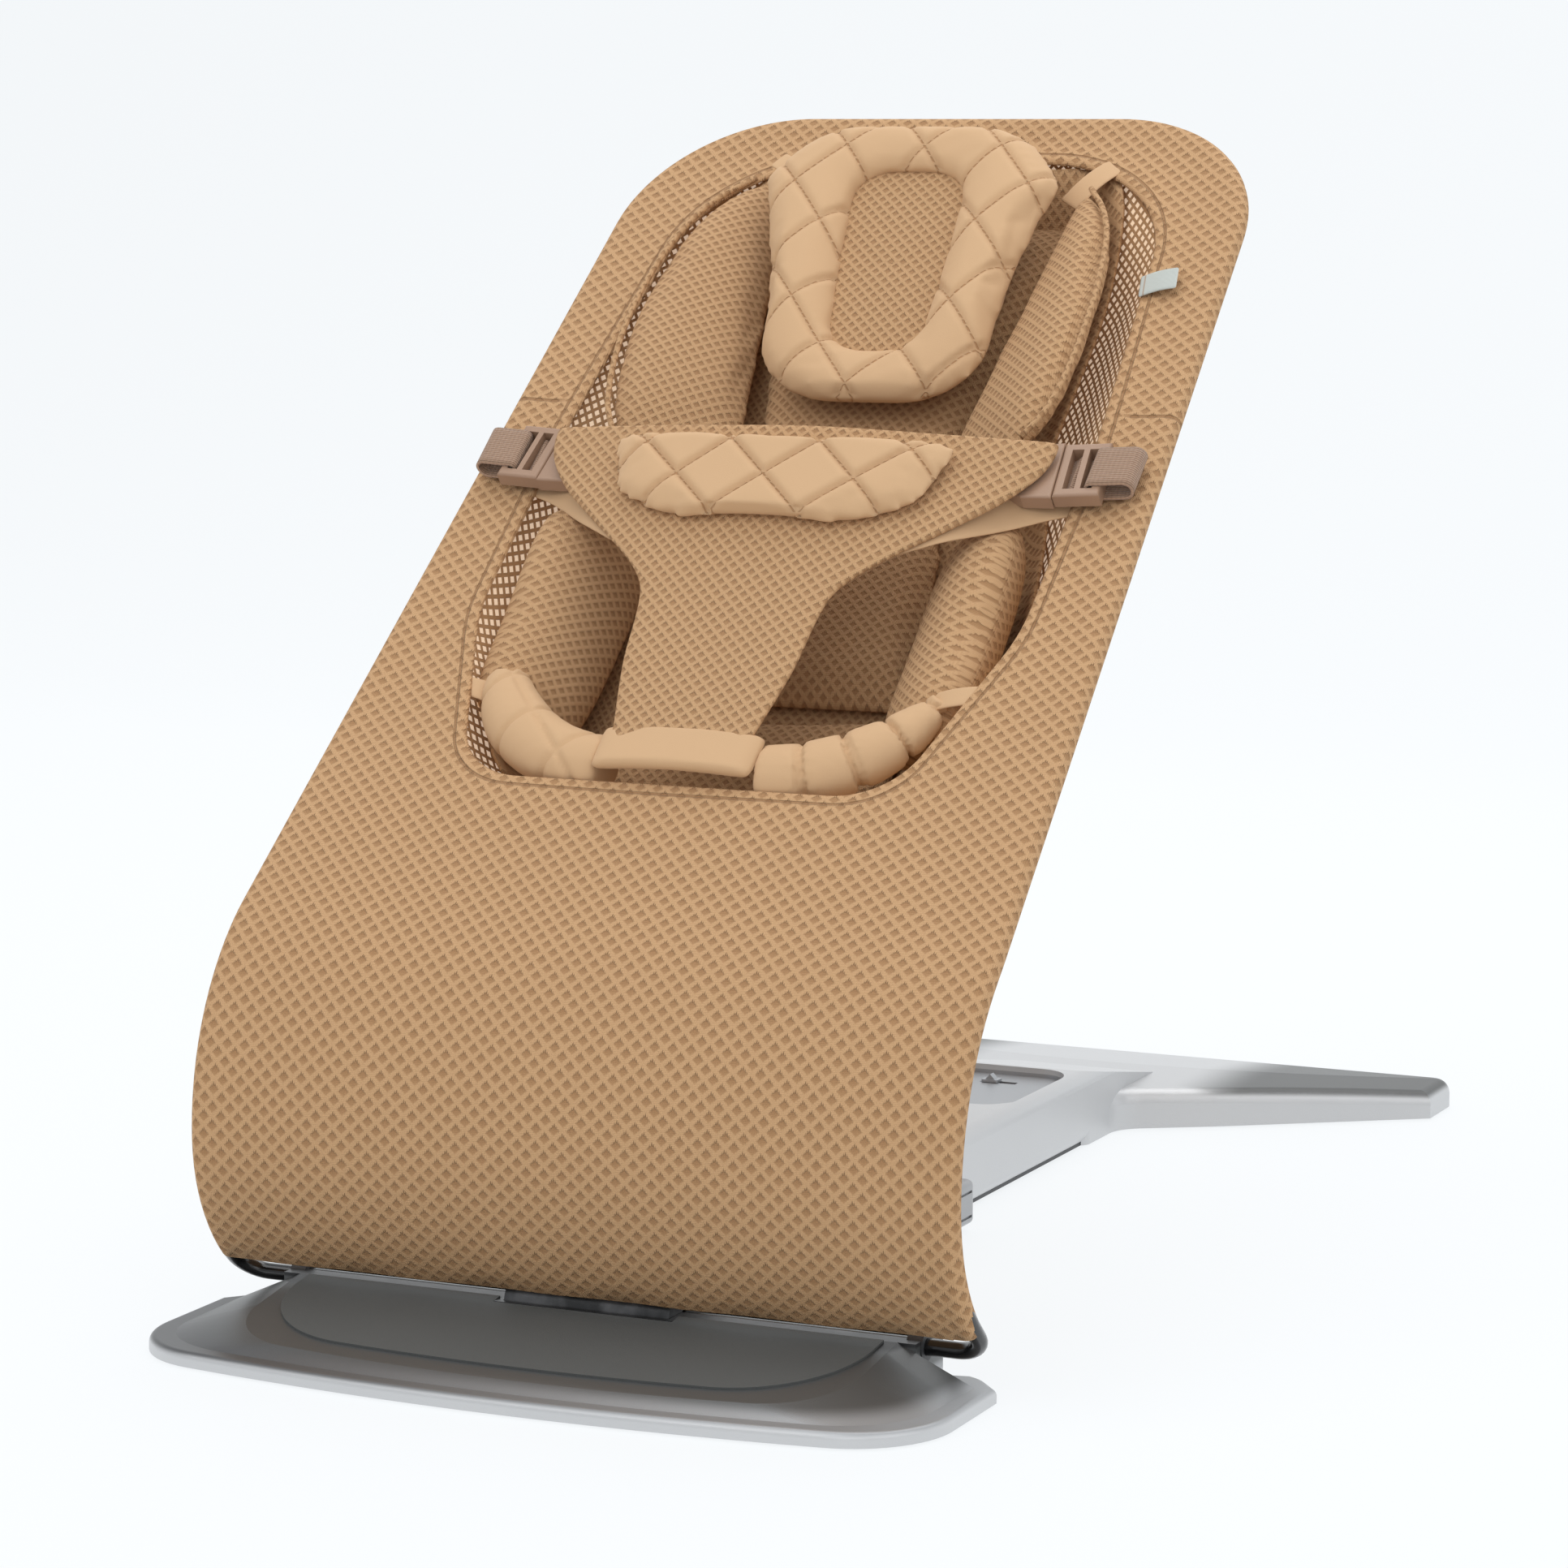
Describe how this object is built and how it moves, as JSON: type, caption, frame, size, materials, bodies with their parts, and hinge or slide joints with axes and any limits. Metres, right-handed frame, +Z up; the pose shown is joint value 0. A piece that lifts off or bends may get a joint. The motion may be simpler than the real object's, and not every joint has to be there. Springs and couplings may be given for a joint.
{
  "type": "bouncer seat",
  "caption": "Baby bouncer: quilted fabric sling seat with harness on a bent wire frame that reclines and folds over a low moulded base.",
  "frame": {"origin": "on the floor, under the middle of the overall box", "axes": "+Z up, front foot and open side of the seat towards -Y, +X to the right when facing the front of the seat"},
  "size_m": [0.406, 0.8389, 0.577],
  "materials": {
    "silver_shell": "satin silver paint on moulded plastic",
    "silver_hatch": "satin",
    "dark_inlay": "fine matte",
    "dark_plastic": "matte",
    "grip_rubber": "soft",
    "zinc_steel": "zinc plated",
    "black_wire": "gloss black powder coat",
    "honeycomb_fabric": "knitted diamond mesh",
    "net_fabric": "open net",
    "smooth_fabric": "smooth quilted jersey",
    "buckle_plastic": "satin",
    "webbing": "ribbed webbing",
    "tag_fabric": "smooth tape"
  },
  "bodies": {
    "base": {"base_screws": "zinc_steel", "button_spring_left": "zinc_steel", "button_spring_right": "zinc_steel", "front_foot_bottom_cover": "dark_plastic", "front_foot_inlay": "dark_inlay", "front_foot_shell": "silver_shell", "front_grip_pads": "grip_rubber", "hatch_panel": "silver_hatch", "latch_spring": "zinc_steel", "rear_base_shell": "silver_shell", "rear_foot_bottom_cover": "dark_plastic", "rear_grip_pads": "grip_rubber", "spine_bottom_cover": "dark_plastic", "spring_bulkhead": "dark_plastic", "wire_bush_left": "dark_plastic", "wire_bush_right": "dark_plastic"},
    "recline": {"pivot_wire": "black_wire", "detent_disc": "dark_plastic"},
    "seat": {"side_wire_left": "black_wire", "side_wire_right": "black_wire", "top_hoop": "zinc_steel", "frame_sleeve_left": "zinc_steel", "frame_sleeve_right": "zinc_steel", "seat_cover": "honeycomb_fabric", "mesh_bucket": "net_fabric", "insert_back_pad": "honeycomb_fabric", "head_wing_left": "honeycomb_fabric", "head_wing_right": "honeycomb_fabric", "insert_seat_pad": "honeycomb_fabric", "thigh_bolster_left": "honeycomb_fabric", "thigh_bolster_right": "honeycomb_fabric", "seat_roll": "smooth_fabric", "head_pillow": "smooth_fabric", "harness_panel": "honeycomb_fabric", "harness_bib": "smooth_fabric", "harness_lining": "smooth_fabric", "crotch_band": "smooth_fabric", "buckle_socket_left": "buckle_plastic", "buckle_socket_right": "buckle_plastic", "strap_loop_left": "webbing", "strap_loop_right": "webbing", "fabric_tag": "tag_fabric", "insert_loops": "smooth_fabric"},
    "latch": {"release_yoke": "dark_plastic", "pull_rod": "zinc_steel", "latch_plunger": "dark_plastic"},
    "button_left": {"release_button_left": "silver_shell"},
    "button_right": {"release_button_right": "silver_shell"},
    "lock": {"lock_knob": "silver_hatch", "lock_plate": "dark_plastic"},
    "clip_left": {"buckle_clip_left": "buckle_plastic"},
    "clip_right": {"buckle_clip_right": "buckle_plastic"}
  },
  "joints": [
    {"name": "seat_recline", "type": "hinge", "parent": "base", "child": "recline", "pos_m": [0, -0.3, 0.021], "axis": [1, 0, 0], "range_deg": [-42.5, 0]},
    {"name": "seat_bounce", "type": "hinge", "parent": "recline", "child": "seat", "pos_m": [0, -0.3, 0.021], "axis": [1, 0, 0], "range_deg": [-4, 4], "stiffness_Nm_per_rad": 120, "springref_deg": 1.72},
    {"name": "release_button_right_press", "type": "slide", "parent": "base", "child": "button_right", "axis": [-1, 0, 0], "range_m": [0, 0.004], "stiffness_N_per_m": 900, "springref_m": -0.002, "deforming": ["button_spring_right"]},
    {"name": "release_button_left_press", "type": "slide", "parent": "base", "child": "button_left", "axis": [1, 0, 0], "range_m": [0, 0.004], "deforming": ["button_spring_left"]},
    {"name": "latch_slide", "type": "slide", "parent": "base", "child": "latch", "axis": [0, 1, 0], "range_m": [0, 0.004], "deforming": ["latch_spring"]},
    {"name": "lock_slide", "type": "slide", "parent": "base", "child": "lock", "axis": [1, 0, 0], "range_m": [0, 0.009]},
    {"name": "buckle_clip_right_pull", "type": "slide", "parent": "seat", "child": "clip_right", "axis": [0.9962, 0.066, 0.0569], "range_m": [0, 0.024], "deforming": ["strap_loop_right"]},
    {"name": "buckle_clip_left_pull", "type": "slide", "parent": "seat", "child": "clip_left", "axis": [-0.9962, 0.066, 0.0569], "range_m": [0, 0.024], "deforming": ["strap_loop_left"]}
  ],
  "couplings": [
    {"joint": "release_button_left_press", "follows": "release_button_right_press", "ratio": 1},
    {"joint": "latch_slide", "follows": "release_button_right_press", "ratio": 1}
  ]
}
